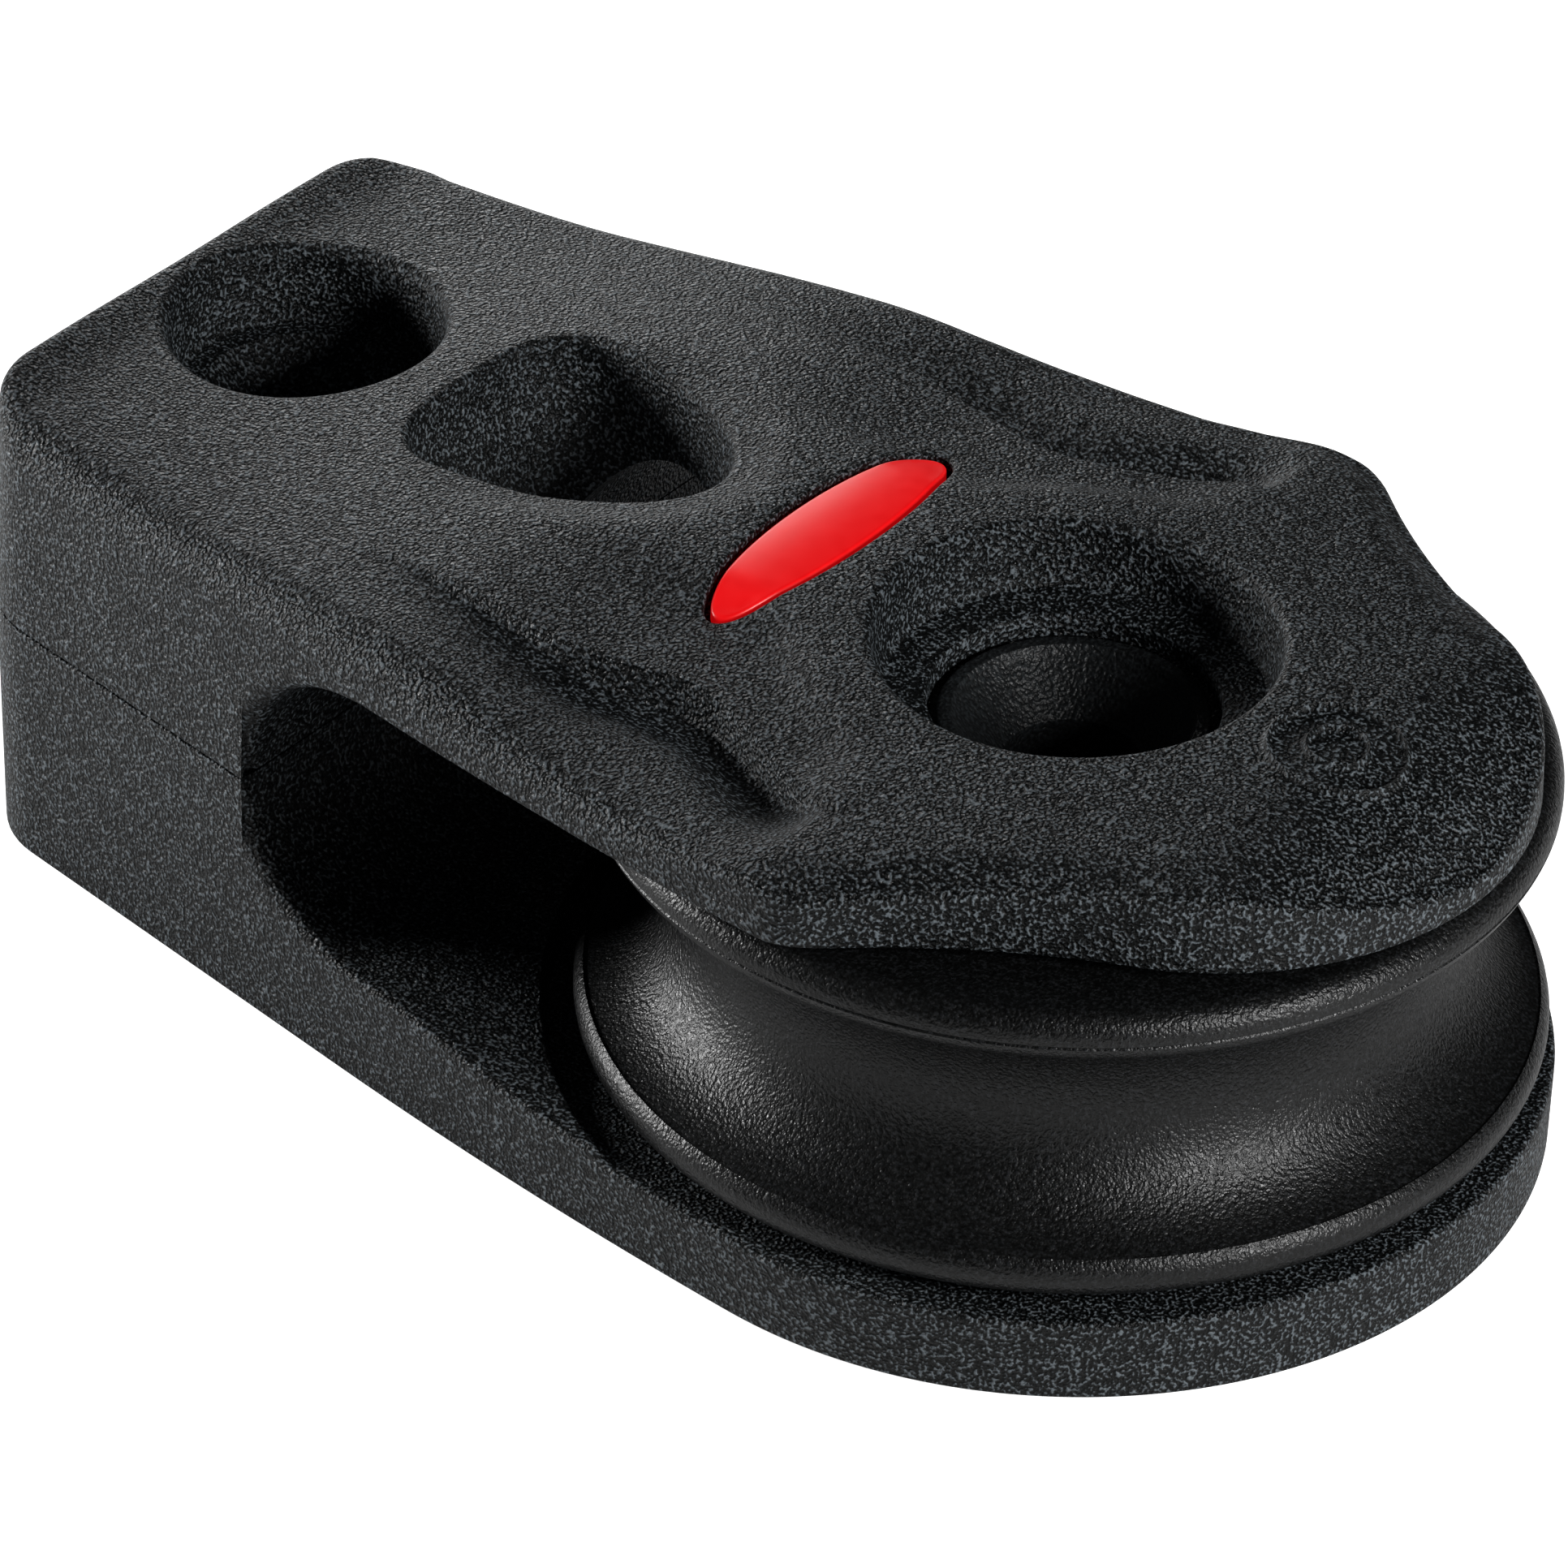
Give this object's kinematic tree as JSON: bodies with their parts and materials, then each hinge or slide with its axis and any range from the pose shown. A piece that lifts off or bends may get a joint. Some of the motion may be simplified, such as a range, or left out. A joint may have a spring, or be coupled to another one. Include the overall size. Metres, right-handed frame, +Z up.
{
  "type": "single sheave block",
  "caption": "Low-profile single sheave block: moulded cheeks, grooved ball bearing sheave, two screw holes, becket pocket.",
  "frame": {"origin": "centre of the deck face, at the middle of the overall length and width", "axes": "+Z up out of the deck along the sheave's axis, +X from the tail to the sheave end, Y across the block"},
  "size_m": [0.0512, 0.0304, 0.0171],
  "materials": {
    "cheek_nylon": "dark charcoal glass-filled nylon, fine spark-eroded texture",
    "hub_nylon": "dark charcoal nylon, finely grained",
    "sheave_acetal": "black acetal, satin, faint orange peel",
    "guard_acetal": "black acetal, satin",
    "ball_acetal": "off-white acetal, polished",
    "badge_enamel": "glossy plain red, no lettering"
  },
  "bodies": {
    "frame": {"lower_cheek": "cheek_nylon", "upper_cheek": "cheek_nylon", "hub": "hub_nylon", "lower_ball_guard": "guard_acetal", "upper_ball_guard": "guard_acetal", "badge": "badge_enamel"},
    "sheave": {"sheave": "sheave_acetal"},
    "ball_train": {"lower_ball_01": "ball_acetal", "lower_ball_02": "ball_acetal", "lower_ball_03": "ball_acetal", "lower_ball_04": "ball_acetal", "lower_ball_05": "ball_acetal", "lower_ball_06": "ball_acetal", "lower_ball_07": "ball_acetal", "lower_ball_08": "ball_acetal", "lower_ball_09": "ball_acetal", "lower_ball_10": "ball_acetal", "lower_ball_11": "ball_acetal", "lower_ball_12": "ball_acetal", "lower_ball_13": "ball_acetal", "lower_ball_14": "ball_acetal", "lower_ball_15": "ball_acetal", "upper_ball_01": "ball_acetal", "upper_ball_02": "ball_acetal", "upper_ball_03": "ball_acetal", "upper_ball_04": "ball_acetal", "upper_ball_05": "ball_acetal", "upper_ball_06": "ball_acetal", "upper_ball_07": "ball_acetal", "upper_ball_08": "ball_acetal", "upper_ball_09": "ball_acetal", "upper_ball_10": "ball_acetal", "upper_ball_11": "ball_acetal", "upper_ball_12": "ball_acetal", "upper_ball_13": "ball_acetal", "upper_ball_14": "ball_acetal", "upper_ball_15": "ball_acetal"}
  },
  "joints": [
    {"name": "sheave_spin", "type": "hinge", "parent": "frame", "child": "sheave", "pos_m": [0.01038, 0, 0], "axis": [0, 0, 1], "continuous": true},
    {"name": "ball_train_spin", "type": "hinge", "parent": "frame", "child": "ball_train", "pos_m": [0.01038, 0, 0], "axis": [0, 0, 1], "continuous": true}
  ],
  "couplings": [
    {"joint": "ball_train_spin", "follows": "sheave_spin", "ratio": 0.5933}
  ]
}
